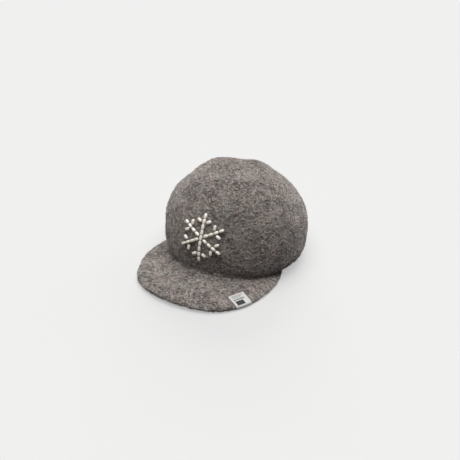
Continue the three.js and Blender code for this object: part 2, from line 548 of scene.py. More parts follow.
@dataclass(frozen=True)
class LacqueredBead:
    """Moulded acrylic beads with a cream pearl lacquer, each a little different.

    The mica in the lacquer gives them the soft half-metallic shine of a pearl.
    """

    warm: str = "#f3e9d9"
    pale: str = "#fffaf0"
    difference: float = 0.6
    unevenness_mm: float = 2.2

    def make(self) -> Material:
        """Builds the material.

        Returns:
            The material.
        """
        material, tree = start_material("cream_pearl_lacquer")
        place = add_node(tree, "ShaderNodeTexCoord").outputs["Object"]
        cloud = add_node(
            tree,
            "ShaderNodeTexNoise",
            {"Vector": place, "Scale": per_size(self.unevenness_mm), "Detail": 2.0},
        ).outputs["Fac"]
        own = add_node(tree, "ShaderNodeAttribute", attribute_name=SHADE).outputs["Fac"]
        shade = add_node(
            tree, "ShaderNodeMath", {0: own, 1: self.difference, 2: cloud}, operation="MULTIPLY_ADD"
        ).outputs["Value"]
        colour = add_node(
            tree,
            "ShaderNodeValToRGB",
            {"Fac": shade},
            stops=((0.35, self.warm), (1.0, self.pale)),
        ).outputs["Color"]
        bump = add_node(
            tree, "ShaderNodeBump", {"Height": cloud, "Strength": 0.3, "Distance": 0.1 * MM}
        ).outputs["Normal"]
        lacquer = add_node(
            tree,
            "ShaderNodeBsdfPrincipled",
            {
                "Base Color": colour,
                "Metallic": 0.24,
                "Roughness": 0.35,
                "IOR": 1.55,
                "Coat Weight": 1.0,
                "Coat IOR": 1.65,
                "Coat Roughness": 0.25,
                "Normal": bump,
            },
        ).outputs["BSDF"]
        add_node(tree, "ShaderNodeOutputMaterial", {"Surface": lacquer})
        return material


@dataclass(frozen=True)
class SewingThread:
    """Twisted cotton thread, ecru and matt."""

    colour: str = "#d8cebb"
    twist_mm: float = 0.6

    def make(self) -> Material:
        """Builds the material.

        Returns:
            The material.
        """
        material, tree = start_material("ecru_cotton_thread")
        place = add_node(tree, "ShaderNodeTexCoord").outputs["Object"]
        twist = add_node(
            tree,
            "ShaderNodeTexWave",
            {"Vector": place, "Scale": per_size(self.twist_mm) / (2 * pi)},
            bands_direction="DIAGONAL",
        ).outputs["Fac"]
        bump = add_node(
            tree, "ShaderNodeBump", {"Height": twist, "Strength": 0.5, "Distance": 0.1 * MM}
        ).outputs["Normal"]
        cotton = add_node(
            tree,
            "ShaderNodeBsdfPrincipled",
            {"Base Color": linear(self.colour), "Roughness": 0.85, "Normal": bump},
        ).outputs["BSDF"]
        add_node(tree, "ShaderNodeOutputMaterial", {"Surface": cotton})
        return material


@dataclass(frozen=True)
class PrintedMark:
    """One printed rectangle on the ribbon, in millimetres from its middle line and its upper end."""

    left: float
    top: float
    width: float
    height: float
    ink: str


@dataclass(frozen=True)
class PlainPrint:
    """What is printed: grey rules, each shorter, a row of black dashes and one black block."""

    left: float = -8.8
    grey: str = "#8d8d8b"
    black: str = "#161616"
    rules: int = 3
    rules_from: float = 2.2
    rule_pitch: float = 1.8
    rule_width: float = 17.6
    rule_step: float = 2.4  # how much shorter each rule is than the one above
    rule_height: float = 0.9
    dashes: int = 5
    dashes_from: float = 8.4
    dash_pitch: float = 3.4
    dash_width: float = 2.2
    dash_height: float = 2.4
    block_from: float = 12.2
    block_width: float = 12.4
    block_height: float = 7.6

    def marks(self) -> list[PrintedMark]:
        """Lays the print out.

        Returns:
            Its rectangles.
        """
        marks = []
        for i in range(self.rules):
            top = self.rules_from + self.rule_pitch * i
            width = self.rule_width - self.rule_step * i
            marks.append(PrintedMark(self.left, top, width, self.rule_height, self.grey))
        for i in range(self.dashes):
            left = self.left + self.dash_pitch * i
            marks.append(
                PrintedMark(left, self.dashes_from, self.dash_width, self.dash_height, self.black)
            )
        marks.append(
            PrintedMark(self.left, self.block_from, self.block_width, self.block_height, self.black)
        )
        return marks


@dataclass(frozen=True)
class PrintedRibbon:
    """White polyester taffeta ribbon, screen printed: fine ribs across, a faint gloss, flat ink."""

    cloth: str = "#dedddb"
    rib_mm: float = 0.9  # the real ribs are about a third of this, too fine to show
    design: PlainPrint = PlainPrint()

    def make(self) -> Material:
        """Builds the material.

        Returns:
            The material.
        """
        material, tree = start_material("printed_taffeta_ribbon")
        place = add_node(tree, "ShaderNodeAttribute", attribute_name=RIBBON_PLACE).outputs["Vector"]
        axes = add_node(tree, "ShaderNodeSeparateXYZ", {"Vector": place}).outputs
        colour = linear(self.cloth)
        for mark in self.design.marks():
            spans = []
            for axis, start, size in (("X", mark.left, mark.width), ("Y", mark.top, mark.height)):
                within = add_node(
                    tree,
                    "ShaderNodeMath",
                    {0: axes[axis], 1: start + size / 2, 2: size / 2},
                    operation="COMPARE",
                )
                spans.append(within.outputs["Value"])
            inked = add_node(
                tree, "ShaderNodeMath", {0: spans[0], 1: spans[1]}, operation="MULTIPLY"
            ).outputs["Value"]
            mixed = add_node(
                tree,
                "ShaderNodeMix",
                {"Factor": inked, "A": colour, "B": linear(mark.ink)},
                data_type="RGBA",
            )
            colour = result_of(mixed)
        ribs = add_node(
            tree,
            "ShaderNodeTexWave",
            {"Vector": place, "Scale": 1 / self.rib_mm / (2 * pi), "Distortion": 0.4},
            bands_direction="Y",
        ).outputs["Fac"]
        bump = add_node(
            tree, "ShaderNodeBump", {"Height": ribs, "Strength": 0.4, "Distance": 0.12 * MM}
        ).outputs["Normal"]
        ribbon = add_node(
            tree,
            "ShaderNodeBsdfPrincipled",
            {
                "Base Color": colour,
                "Roughness": 0.62,
                "Sheen Weight": 0.15,
                "Normal": bump,
            },
        ).outputs["BSDF"]
        add_node(tree, "ShaderNodeOutputMaterial", {"Surface": ribbon})
        return material


@dataclass(frozen=True)
class StudioPaper:
    """Matt translucent paper over a light box, so that shadows on it stay pale."""

    colour: str = "#a3a3a2"
    glow: float = 0.42

    def make(self) -> Material:
        """Builds the material.

        Returns:
            The material.
        """
        material, tree = start_material("backlit_paper")
        paper = add_node(
            tree,
            "ShaderNodeBsdfPrincipled",
            {
                "Base Color": linear(self.colour),
                "Roughness": 1.0,
                "Specular IOR Level": 0.0,
                "Emission Color": linear(WHITE),
                "Emission Strength": self.glow,
            },
        ).outputs["BSDF"]
        add_node(tree, "ShaderNodeOutputMaterial", {"Surface": paper})
        return material


# Wool


Push = tuple[Vector | NodeSocket, NodeSocket]  # a direction and a distance

NOISE_MIDDLE = 0.5
MEAN_FOLD = 0.09  # how far the noise lies from its middle on average
PRESSED_WITHIN = 0.8 * MM  # of a trimming, where the wool lies flat
FREE_BEYOND = 4.5 * MM  # of a trimming, where it no longer presses the wool
JOINED_WITHIN = 2.3 * MM  # of the other form, where the wool meets it
APART_BEYOND = 3.8 * MM  # of the other form, where the wool keeps its place
FIBRE_STEPS = 3
FIBRE_SIDES = 3
FIBRE_TILT = 0.12  # radians out of the surface
FIBRE_ROOT = -0.05  # below the surface, in shares of the fibre's length, as are the next two
FIBRE_BENDS = 0.2  # from the fibre's middle to each of its two bends
FIBRE_END = 0.5
SHORTEST = 0.6  # of a crop's fibres, in shares of the crop's length
LONGEST = 1.25


@dataclass(frozen=True)
class Curl:
    """How one kind of fibre bends, in shares of its length, and how thick it is beside the others."""

    first_bend: float
    second_bend: float
    crest: float
    tip: float
    girth: float


CURLS = (
    Curl(first_bend=0.40, second_bend=0.42, crest=0.13, tip=-0.05, girth=1.0),
    Curl(first_bend=0.55, second_bend=-0.50, crest=0.12, tip=-0.05, girth=0.9),
    Curl(first_bend=-0.25, second_bend=-0.60, crest=0.15, tip=0.10, girth=0.8),
    Curl(first_bend=0.70, second_bend=0.35, crest=0.14, tip=0.20, girth=0.7),
    Curl(first_bend=-0.45, second_bend=0.60, crest=0.12, tip=-0.04, girth=1.6),
    Curl(first_bend=0.20, second_bend=0.35, crest=0.11, tip=-0.05, girth=2.0),
)


@dataclass(frozen=True)
class Swell:
    """One broad place that stands out, or in where its height is below zero, at its full thickness."""

    towards: tuple[float, float, float]  # seen from the form's middle
    reach: float  # degrees from there to where it ends
    height: float


def distance_to(tree: NodeTree, other: NodeSocket) -> NodeSocket:
    """Adds the nodes that measure how far a point lies from an object's surface."""
    shape = add_node(tree, "GeometryNodeObjectInfo", {"Object": other}).outputs["Geometry"]
    return add_node(
        tree, "GeometryNodeProximity", {0: shape}, target_element="FACES"
    ).outputs["Distance"]


def smooth_rise(tree: NodeTree, value: NodeSocket, start: float, end: float) -> NodeSocket:
    """Adds the node of a share that rises with a value.

    Args:
        tree: the geometry tree.
        value: the value's socket.
        start: the value where the share leaves zero.
        end: the value where it reaches one.

    Returns:
        The share's socket.
    """
    return add_node(
        tree,
        "ShaderNodeMapRange",
        {"Value": value, "From Min": start, "From Max": end},
        interpolation_type="SMOOTHSTEP",
    ).outputs["Result"]


def from_middle(tree: NodeTree, given: bpy_prop_collection) -> NodeSocket:
    """Adds the nodes of the way from a form's middle to a point of its surface."""
    place = add_node(tree, "GeometryNodeInputPosition").outputs["Position"]
    return add_node(
        tree, "ShaderNodeVectorMath", {0: place, 1: given["Middle"]}, operation="SUBTRACT"
    ).outputs["Vector"]


def keep_off_table(tree: NodeTree, shape: NodeSocket, lowest: NodeSocket) -> NodeSocket:
    """Adds the nodes that flatten a shape where it would sink below a height.

    Args:
        tree: the geometry tree.
        shape: the shape's socket.
        lowest: the height's socket.

    Returns:
        The flattened shape's socket.
    """
    place = add_node(tree, "GeometryNodeInputPosition").outputs["Position"]
    axes = add_node(tree, "ShaderNodeSeparateXYZ", {"Vector": place}).outputs
    height = add_node(
        tree, "ShaderNodeMath", {0: axes["Z"], 1: lowest}, operation="MAXIMUM"
    ).outputs["Value"]
    flat = add_node(
        tree, "ShaderNodeCombineXYZ", {"X": axes["X"], "Y": axes["Y"], "Z": height}
    ).outputs["Vector"]
    return add_node(
        tree, "GeometryNodeSetPosition", {"Geometry": shape, "Position": flat}
    ).outputs["Geometry"]


def relief_push(tree: NodeTree, given: bpy_prop_collection) -> Push:
    """Adds the nodes of a felt's relief: broad dents, soft winding ridges and small lumps.

    Args:
        tree: the geometry tree.
        given: the tree's inputs.

    Returns:
        The surface's normal and how far the relief moves a point along it, which is nothing under a
        trimming.
    """
    place = add_node(tree, "GeometryNodeInputPosition").outputs["Position"]
    rows = add_node(
        tree, "ShaderNodeVectorMath", {0: place, 1: given["Rows"]}, operation="MULTIPLY"
    ).outputs["Vector"]
    height = given["Proud"]
    for form, where, ridged in (("Dent", place, False), ("Ridge", rows, True), ("Lump", rows, False)):
        scale = add_node(
            tree, "ShaderNodeMath", {0: 1.0, 1: given[f"{form} Size"]}, operation="DIVIDE"
        ).outputs["Value"]
        noise = add_node(
            tree,
            "ShaderNodeTexNoise",
            {"Vector": where, "W": given["Seed"], "Scale": scale, "Detail": 1.0},
            noise_dimensions="4D",
        ).outputs["Fac"]
        swing = add_node(
            tree, "ShaderNodeMath", {0: noise, 1: NOISE_MIDDLE}, operation="SUBTRACT"
        ).outputs["Value"]
        if ridged:
            fold = add_node(tree, "ShaderNodeMath", {0: swing}, operation="ABSOLUTE").outputs["Value"]
            swing = add_node(
                tree, "ShaderNodeMath", {0: MEAN_FOLD, 1: fold}, operation="SUBTRACT"
            ).outputs["Value"]
        height = add_node(
            tree,
            "ShaderNodeMath",
            {0: swing, 1: given[f"{form} Depth"], 2: height},
            operation="MULTIPLY_ADD",
        ).outputs["Value"]
    freedom = smooth_rise(tree, distance_to(tree, given["Pressed By"]), PRESSED_WITHIN, FREE_BEYOND)
    height = add_node(
        tree, "ShaderNodeMath", {0: height, 1: freedom}, operation="MULTIPLY"
    ).outputs["Value"]
    return add_node(tree, "GeometryNodeInputNormal").outputs["Normal"], height


def swell_push(tree: NodeTree, given: bpy_prop_collection, swells: tuple[Swell, ...]) -> Push:
    """Adds the nodes of a form's broad swells.

    Args:
        tree: the geometry tree.
        given: the tree's inputs.
        swells: the form's swells, one or more.

    Returns:
        The direction away from the form's middle and how far they move a point along it.
    """
    ray = add_node(
        tree, "ShaderNodeVectorMath", {0: from_middle(tree, given)}, operation="NORMALIZE"
    ).outputs["Vector"]
    swollen = 0.0
    for swell in swells:
        nearness = add_node(
            tree,
            "ShaderNodeVectorMath",
            {0: ray, 1: Vector(swell.towards).normalized()},
            operation="DOT_PRODUCT",
        ).outputs["Value"]
        share = smooth_rise(tree, nearness, cos(radians(swell.reach)), 1.0)
        swollen = add_node(
            tree, "ShaderNodeMath", {0: share, 1: swell.height, 2: swollen}, operation="MULTIPLY_ADD"
        ).outputs["Value"]
    return ray, swollen


def join_push(tree: NodeTree, given: bpy_prop_collection) -> Push:
    """Adds the nodes that raise a form to the one that it is knitted to, where they lie close.

    Args:
        tree: the geometry tree.
        given: the tree's inputs.

    Returns:
        The upward direction and how far a point rises.
    """
    gap = distance_to(tree, given["Knitted To"])
    apart = smooth_rise(tree, gap, JOINED_WITHIN, APART_BEYOND)
    joined = add_node(
        tree, "ShaderNodeMath", {0: 1.0, 1: apart}, operation="SUBTRACT"
    ).outputs["Value"]
    reach = add_node(
        tree, "ShaderNodeMath", {0: gap, 1: given["Join"]}, operation="ADD"
    ).outputs["Value"]
    lift = add_node(tree, "ShaderNodeMath", {0: joined, 1: reach}, operation="MULTIPLY")
    return UP, lift.outputs["Value"]


def fulled_surface_tree(name: str, swells: tuple[Swell, ...]) -> NodeTree:
    """Builds the tree that gives a smooth form the uneven surface of fulled knitting.

    Args:
        name: the tree's name.
        swells: the form's own broad swells.

    Returns:
        A geometry tree that moves each point by the felt's relief, by the swells and towards the form
        that it is knitted to, and stops it at the table.
    """
    tree, sizes = start_tree(
        name,
        {
            "Middle": "NodeSocketVector",
            "Proud": "NodeSocketFloat",
            "Dent Size": "NodeSocketFloat",
            "Dent Depth": "NodeSocketFloat",
            "Ridge Size": "NodeSocketFloat",
            "Ridge Depth": "NodeSocketFloat",
            "Lump Size": "NodeSocketFloat",
            "Lump Depth": "NodeSocketFloat",
            "Rows": "NodeSocketVector",
            "Pressed By": "NodeSocketObject",
            "Knitted To": "NodeSocketObject",
            "Join": "NodeSocketFloat",
            "Lowest": "NodeSocketFloat",
            "Seed": "NodeSocketFloat",
            "Material": "NodeSocketMaterial",
        },
    )
    given = sizes.outputs
    moved = given["Geometry"]
    for direction, distance in (
        relief_push(tree, given),
        swell_push(tree, given, swells),
        join_push(tree, given),
    ):
        push = add_node(
            tree, "ShaderNodeVectorMath", {"Vector": direction, "Scale": distance}, operation="SCALE"
        ).outputs["Vector"]
        moved = add_node(
            tree, "GeometryNodeSetPosition", {"Geometry": moved, "Offset": push}
        ).outputs["Geometry"]
    rested = keep_off_table(tree, moved, given["Lowest"])
    smooth = add_node(tree, "GeometryNodeSetShadeSmooth", {0: rested}).outputs[0]
    dressed = add_node(
        tree, "GeometryNodeSetMaterial", {"Geometry": smooth, "Material": given["Material"]}
    ).outputs["Geometry"]
    add_node(tree, "NodeGroupOutput", {0: dressed})
    return tree


def on_chosen_side(tree: NodeTree, given: bpy_prop_collection) -> NodeSocket:
    """Adds the nodes that choose the faces on one side of a hollow form.

    Args:
        tree: the geometry tree.
        given: the tree's inputs.

    Returns:
        The choice's socket.
    """
    normal = add_node(tree, "GeometryNodeInputNormal").outputs["Normal"]
    facing = add_node(
        tree, "ShaderNodeVectorMath", {0: normal, 1: from_middle(tree, given)}, operation="DOT_PRODUCT"
    ).outputs["Value"]
    sided = add_node(
        tree, "ShaderNodeMath", {0: facing, 1: given["Side"]}, operation="MULTIPLY"
    ).outputs["Value"]
    return result_of(
        add_node(tree, "FunctionNodeCompare", {"A": sided, "B": 0.0}, operation="GREATER_THAN")
    )


def laid_along_rows(tree: NodeTree, normal: NodeSocket, given: bpy_prop_collection) -> NodeSocket:
    """Adds the nodes that lay a fibre on the surface, along the rows of stitches, give or take.

    Args:
        tree: the geometry tree.
        normal: the surface's normal at the fibre.
        given: the tree's inputs.

    Returns:
        The rotation's socket.
    """
    row = add_node(
        tree, "ShaderNodeVectorMath", {0: given["Across Rows"], 1: normal}, operation="CROSS_PRODUCT"
    ).outputs["Vector"]
    laid = add_node(
        tree,
        "FunctionNodeAxesToRotation",
        {"Primary Axis": normal, "Secondary Axis": row},
        primary_axis="Z",
        secondary_axis="X",
    )
    most = add_node(
        tree, "ShaderNodeCombineXYZ", {"X": FIBRE_TILT, "Y": FIBRE_TILT, "Z": given["Wander"]}
    ).outputs["Vector"]
    least = add_node(
        tree, "ShaderNodeVectorMath", {"Vector": most, "Scale": -1.0}, operation="SCALE"
    ).outputs["Vector"]
    spin = add_node(
        tree,
        "FunctionNodeRandomValue",
        {"Min": least, "Max": most, "Seed": given["Seed"]},
        data_type="FLOAT_VECTOR",
    )
    turned = add_node(
        tree,
        "FunctionNodeRotateRotation",
        {"Rotation": result_of(laid), "Rotate By": result_of(spin)},
        rotation_space="LOCAL",
    )
    return result_of(turned)


def loose_fibre_tree() -> NodeTree:
    """Builds the tree that scatters curled fibres over a wool surface.

    Returns:
        A geometry tree that gives only the fibres, each with its own shade.
    """
    tree, sizes = start_tree(
        "loose_fibres",
        {
            "Density": "NodeSocketFloat",
            "Length": "NodeSocketFloat",
            "Thickness": "NodeSocketFloat",
            "Wander": "NodeSocketFloat",
            "Across Rows": "NodeSocketVector",
            "Side": "NodeSocketFloat",
            "Middle": "NodeSocketVector",
            "Clear Of": "NodeSocketObject",
            "Clearance": "NodeSocketFloat",
            "Lowest": "NodeSocketFloat",
            "Seed": "NodeSocketInt",
            "Material": "NodeSocketMaterial",
        },
    )
    given = sizes.outputs
    roots = add_node(
        tree,
        "GeometryNodeDistributePointsOnFaces",
        {
            "Mesh": given["Geometry"],
            "Selection": on_chosen_side(tree, given),
            "Density": given["Density"],
            "Seed": given["Seed"],
        },
        distribute_method="RANDOM",
    )
    crowding = add_node(
        tree,
        "FunctionNodeCompare",
        {"A": distance_to(tree, given["Clear Of"]), "B": given["Clearance"]},
        operation="LESS_THAN",
    )
    kept = add_node(
        tree,
        "GeometryNodeDeleteGeometry",
        {"Geometry": roots.outputs["Points"], "Selection": result_of(crowding)},
        domain="POINT",
    ).outputs["Geometry"]
    growth = add_node(
        tree,
        "FunctionNodeRandomValue",
        {"Min": SHORTEST, "Max": LONGEST, "Seed": given["Seed"]},
        data_type="FLOAT",
    )
    kind = add_node(
        tree,
        "FunctionNodeRandomValue",
        {"Min": 0, "Max": len(CURLS) - 1, "Seed": given["Seed"]},
        data_type="INT",
    )
    kinds = add_node(
        tree,
        "GeometryNodeGeometryToInstance",
        {0: [curled_fibre(tree, curl, given) for curl in CURLS]},
    )
    fibres = add_node(
        tree,
        "GeometryNodeInstanceOnPoints",
        {
            "Points": kept,
            "Instance": result_of(kinds),
            "Pick Instance": True,
            "Instance Index": result_of(kind),
            "Rotation": laid_along_rows(tree, roots.outputs["Normal"], given),
            "Scale": result_of(growth),
        },
    ).outputs["Instances"]
    dressed = shaded_result(tree, fibres, given)
    add_node(tree, "NodeGroupOutput", {0: keep_off_table(tree, dressed, given["Lowest"])})
    return tree


def shaded_result(tree: NodeTree, copies: NodeSocket, given: bpy_prop_collection) -> NodeSocket:
    """Adds the nodes that give each copy a random shade, make the copies real and set their material.

    Args:
        tree: the geometry tree.
        copies: the instances' socket.
        given: the tree's inputs, with a Seed and a Material.

    Returns:
        The finished mesh's socket.
    """
    shade = add_node(
        tree,
        "FunctionNodeRandomValue",
        {"Min": 0.0, "Max": 1.0, "Seed": given["Seed"]},
        data_type="FLOAT",
    )
    shaded = add_node(
        tree,
        "GeometryNodeStoreNamedAttribute",
        {"Geometry": copies, "Name": SHADE, "Value": result_of(shade)},
        data_type="FLOAT",
        domain="INSTANCE",
    ).outputs["Geometry"]
    real = add_node(tree, "GeometryNodeRealizeInstances", {"Geometry": shaded}).outputs["Geometry"]
    return add_node(
        tree, "GeometryNodeSetMaterial", {"Geometry": real, "Material": given["Material"]}
    ).outputs["Geometry"]


def curled_fibre(tree: NodeTree, curl: Curl, given: bpy_prop_collection) -> NodeSocket:
    """Adds the nodes of one kind of fibre, a closed three-sided strand that lies along X.

    Args:
        tree: the geometry tree.
        curl: how the fibre bends.
        given: the tree's inputs, with a Length and a Thickness.

    Returns:
        The fibre's socket.
    """
    path = add_node(
        tree,
        "GeometryNodeCurvePrimitiveBezierSegment",
        {
            "Resolution": FIBRE_STEPS,
            "Start": (-FIBRE_END, 0.0, FIBRE_ROOT),
            "Start Handle": (-FIBRE_BENDS, curl.first_bend, curl.crest),
            "End Handle": (FIBRE_BENDS, curl.second_bend, curl.crest),
            "End": (FIBRE_END, 0.0, curl.tip),
        },
        mode="POSITION",
    ).outputs["Curve"]
    sized = add_node(
        tree,
        "GeometryNodeTransform",
        {"Geometry": path, "Scale": given["Length"]},
    ).outputs["Geometry"]
    radius = add_node(
        tree,
        "ShaderNodeMath",
        {0: given["Thickness"], 1: curl.girth / 2},
        operation="MULTIPLY",
    ).outputs["Value"]
    section = add_node(
        tree,
        "GeometryNodeCurvePrimitiveCircle",
        {"Resolution": FIBRE_SIDES, "Radius": radius},
        mode="RADIUS",
    ).outputs["Curve"]
    return add_node(
        tree,
        "GeometryNodeCurveToMesh",
        {"Curve": sized, "Profile Curve": section, "Fill Caps": True},
    ).outputs["Mesh"]


@dataclass(frozen=True)
class Fuzz:
    """One crop of loose fibres on a wool surface, small enough to be one piece.

    A wool fibre is about 0.03 mm thick, far too fine to show. These are ten or more times as thick,
    and as much fewer.
    """

    name: str
    per_square_cm: float
    length: float
    thickness: float
    wander: float  # degrees that a fibre may turn from the row of stitches
    seed: int
    side: Side = Side.OUTSIDE


@dataclass(frozen=True)
class Relief:
    """How uneven a fulled surface is: the size and depth of its dents, ridges and lumps."""

    proud: float
    dent_size: float
    dent_depth: float
    ridge_size: float
    ridge_depth: float
    lump_size: float
    lump_depth: float
    rows: tuple[float, float, float]
    seed: float


@dataclass
class WoolWork:
    """What the wool forms share: the tree of their loose fibres and their finishes."""

    table_gap: float = 0.02 * MM
    clearance: float = 1.6 * MM  # from the trimmings to the nearest loose fibres

    def __post_init__(self) -> None:
        """Builds the tree and the materials once."""
        self.fibres = loose_fibre_tree()
        self.felt = FulledWool().make()
        self.fibre = LooseWool().make()


@dataclass
class WoolForm:
    """One thick form of fulled knitting, with loose fibres on it."""

    wool: WoolWork
    node: str
    voxel: float
    relief: Relief
    swells: tuple[Swell, ...]
    across_rows: tuple[float, float, float]
    crops: tuple[Fuzz, ...]
    rounding: int = 2
    knitted_to: str = ""
    join: float = 0.0  # how far the wool goes into what it is knitted to

    def build_smooth(self) -> Object:
        """The smooth form, which the trimmings are sewn to before the wool is fulled."""
        return smooth_copy(self.node, f"{self.node}_wool", self.rounding)

    def finish(self, body: Object, trimming: Object) -> None:
        """Fulls the surface and grows the loose fibres.

        Args:
            body: the smooth form, which becomes the finished piece.
            trimming: what is sewn to it, which presses it flat and stays bare.
        """
        remesh = body.modifiers.new("even_net", "REMESH")
        remesh.mode = "VOXEL"
        remesh.voxel_size = self.voxel
        remesh.use_smooth_shade = True
        keep_result(body)
        relief = {
            field.replace("_", " ").title(): value for field, value in vars(self.relief).items()
        }
        run_tree(
            body,
            fulled_surface_tree(f"fulled_{self.node}", self.swells),
            {
                **relief,
                "Middle": self.middle(),
                "Pressed By": trimming,
                "Knitted To": bpy.data.objects.get(self.knitted_to),
                "Join": self.join,
                "Lowest": self.wool.table_gap,
                "Material": self.wool.felt,
            },
        )
        hand_over(body, Finish.WOOL, self.node)
        for crop in self.crops:
            self.grow(body, crop, trimming)

    def middle(self) -> Vector:
        """The point that the outside faces away from."""
        low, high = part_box(self.node)
        return (low + high) / 2

    def grow(self, body: Object, crop: Fuzz, trimming: Object) -> None:
        """Grows one crop of loose fibres.

        Args:
            body: the wool surface that they grow on.
            crop: the crop.
            trimming: the piece that they leave bare.
        """
        fibres = new_object(crop.name, body.data.copy())
        run_tree(
            fibres,
            self.wool.fibres,
            {
                "Density": crop.per_square_cm * PER_SQUARE_CM,
                "Length": crop.length,
                "Thickness": crop.thickness,
                "Wander": radians(crop.wander),
                "Across Rows": self.across_rows,
                "Side": crop.side.value,
                "Middle": self.middle(),
                "Clear Of": trimming,
                "Clearance": self.wool.clearance,
                "Lowest": self.wool.table_gap,
                "Seed": crop.seed,
                "Material": self.wool.fibre,
            },
        )
        hand_over(fibres, Finish.WOOL)


# Sub-assemblies


@dataclass
class Crown(WoolForm):
    """The seamless crown: one thick wall, softly dented, with fewer loose fibres inside."""

    node: str = "crown"
    voxel: float = 1.62 * MM
    relief: Relief = Relief(
        proud=0.35 * MM,
        dent_size=34 * MM,
        dent_depth=2.0 * MM,
        ridge_size=8.0 * MM,
        ridge_depth=4.5 * MM,
        lump_size=3.4 * MM,
        lump_depth=1.2 * MM,
        rows=(1, 1, 1.5),
        seed=3.0,
    )
    swells: tuple[Swell, ...] = (
        Swell(towards=(-0.56, 0.22, 0.80), reach=26, height=3.2 * MM),
        Swell(towards=(-0.31, 0.41, 0.86), reach=17, height=-2.6 * MM),
        Swell(towards=(0.00, 0.56, 0.83), reach=17, height=2.2 * MM),
        Swell(towards=(0.32, 0.65, 0.69), reach=42, height=-1.8 * MM),
        Swell(towards=(-0.77, 0.00, 0.64), reach=18, height=-2.0 * MM),
        Swell(towards=(-0.90, -0.32, 0.29), reach=20, height=1.3 * MM),
        Swell(towards=(-0.80, -0.56, -0.22), reach=24, height=-2.6 * MM),
    )
    across_rows: tuple[float, float, float] = (0, 0, 1)
    crops: tuple[Fuzz, ...] = (
        Fuzz("crown_fibres_long", 6.0, 6.0 * MM, 0.30 * MM, 180, 11),
        Fuzz("crown_fibres_middle", 10.3, 3.1 * MM, 0.46 * MM, 45, 23),
        Fuzz("crown_fibres_short", 10.3, 3.8 * MM, 0.54 * MM, 32, 37),
        Fuzz("crown_fibres_inside", 2.0, 6.0 * MM, 0.34 * MM, 180, 41, Side.INSIDE),
    )

    def middle(self) -> Vector:
        """Finds a point low in the hollow, which the whole outside of the wall faces away from.

        Returns:
            The point.
        """
        low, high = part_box(self.node)
        place = (low + high) / 2
        place.z = low.z + (high.z - low.z) / 3
        return place


@dataclass
class Peak(WoolForm):
    """The thick soft peak under the front of the rim."""

    node: str = "peak"
    voxel: float = 1.15 * MM
    relief: Relief = Relief(
        proud=0.1 * MM,
        dent_size=30 * MM,
        dent_depth=1.2 * MM,
        ridge_size=7.0 * MM,
        ridge_depth=3.2 * MM,
        lump_size=3.0 * MM,
        lump_depth=0.8 * MM,
        rows=(1, 1.5, 1),
        seed=8.0,
    )
    swells: tuple[Swell, ...] = (
        Swell(towards=(-0.9, 0.4, 0.1), reach=40, height=2.8 * MM),
        Swell(towards=(-0.75, -0.65, 0.0), reach=50, height=-1.6 * MM),
    )
    across_rows: tuple[float, float, float] = (0, 1, 0)
    knitted_to: str = "crown_wool"
    join: float = 0.8 * MM
    crops: tuple[Fuzz, ...] = (
        Fuzz("peak_fibres_long", 6.0, 6.0 * MM, 0.30 * MM, 180, 53),
        Fuzz("peak_fibres_short", 22.0, 3.6 * MM, 0.54 * MM, 36, 67),
    )


def sewn_row_tree() -> NodeTree:
    """Builds the tree that puts a copy of a pattern on each of some marked points.

    Returns:
        A geometry tree. Each point says where the copy lies along and which way it faces out.
    """
    tree, sizes = start_tree(
        "sewn_row",
        {
            "Pattern": "NodeSocketObject",
            "Smallest": "NodeSocketFloat",
            "Largest": "NodeSocketFloat",
            "Seed": "NodeSocketInt",
            "Material": "NodeSocketMaterial",
        },
    )
    given = sizes.outputs
    along, out = (
        add_node(
            tree, "GeometryNodeInputNamedAttribute", {"Name": name}, data_type="FLOAT_VECTOR"
        )
        for name in (ALONG, OUT)
    )
    turned = add_node(
        tree,
        "FunctionNodeAxesToRotation",
        {"Primary Axis": result_of(along), "Secondary Axis": result_of(out)},
        primary_axis="X",
        secondary_axis="Z",
    )
    growth = add_node(
        tree,
        "FunctionNodeRandomValue",
        {"Min": given["Smallest"], "Max": given["Largest"], "Seed": given["Seed"]},
        data_type="FLOAT",
    )
    pattern = add_node(
        tree, "GeometryNodeObjectInfo", {"Object": given["Pattern"], "As Instance": True}
    ).outputs["Geometry"]
    copies = add_node(
        tree,
        "GeometryNodeInstanceOnPoints",
        {
            "Points": given["Geometry"],
            "Instance": pattern,
            "Rotation": result_of(turned),
            "Scale": result_of(growth),
        },
    ).outputs["Instances"]
    add_node(tree, "NodeGroupOutput", {0: shaded_result(tree, copies, given)})
    return tree


